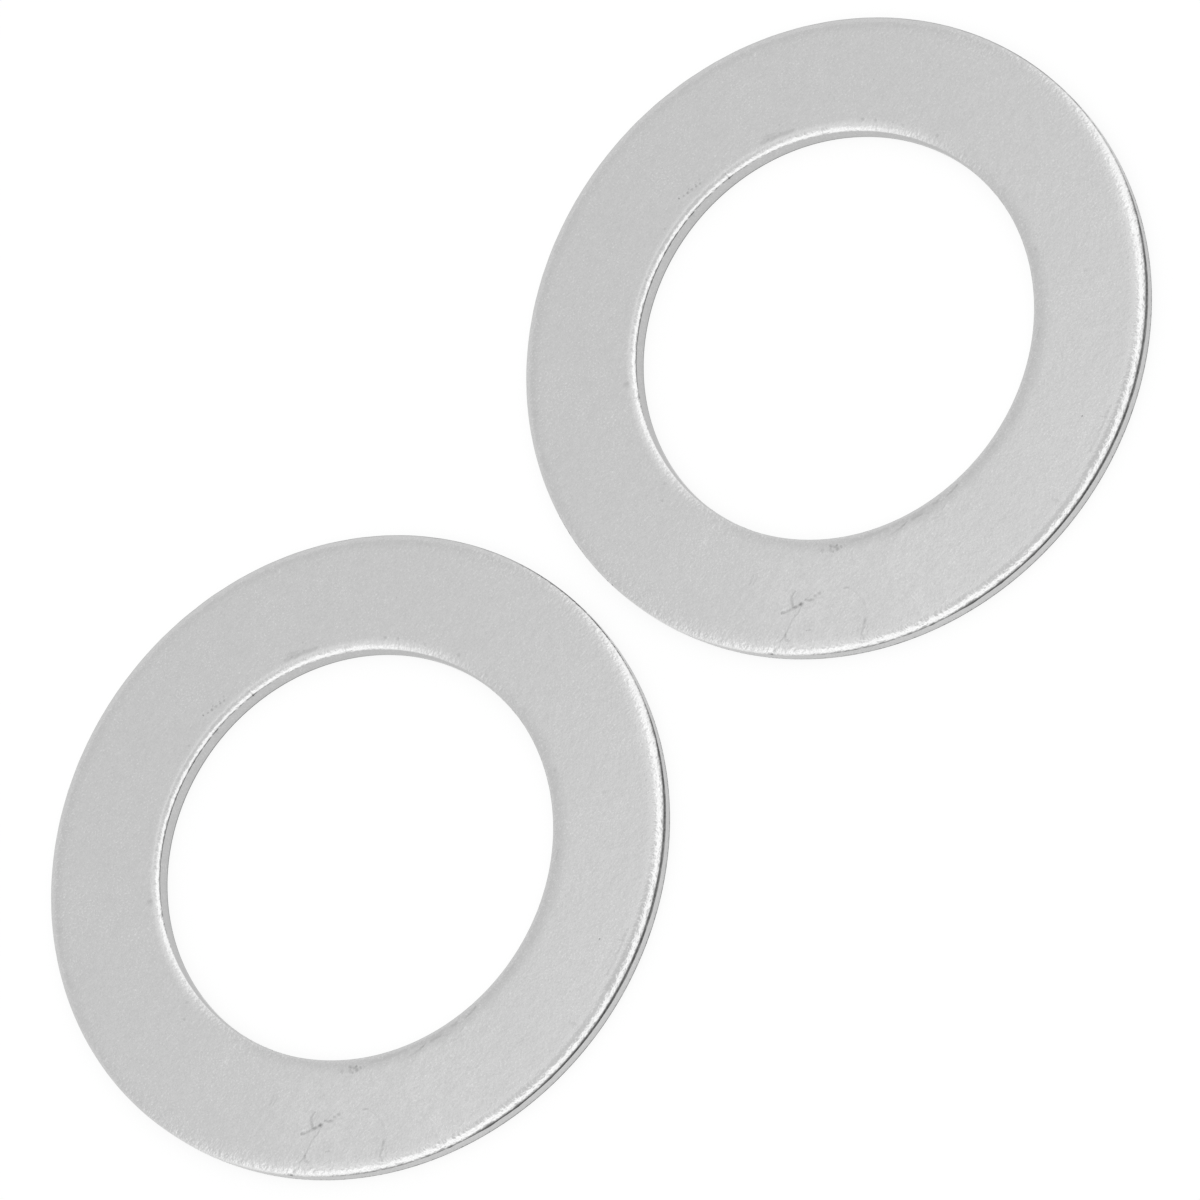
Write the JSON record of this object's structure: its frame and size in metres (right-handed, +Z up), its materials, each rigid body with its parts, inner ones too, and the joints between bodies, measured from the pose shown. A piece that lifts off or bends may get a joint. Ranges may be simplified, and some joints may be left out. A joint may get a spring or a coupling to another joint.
{
  "type": "pair of wheel washers",
  "caption": "Thin flat stamped steel rings with a plain round bore and rolled upper edges, laid side by side, to space and face a wheel on its axle.",
  "frame": {"origin": "on the surface that the washers lie on, midway between the two washers", "axes": "+X from the left washer's centre to the right washer's centre, +Z up along both bores, out of the faces with the rolled edges"},
  "size_m": [0.0652, 0.0318, 0.0009],
  "materials": {
    "plated_steel": "satin, fine tumbled grain, rolled edges burnished brighter"
  },
  "bodies": {
    "root": {"washer_left": "plated_steel", "washer_right": "plated_steel"}
  },
  "joints": []
}
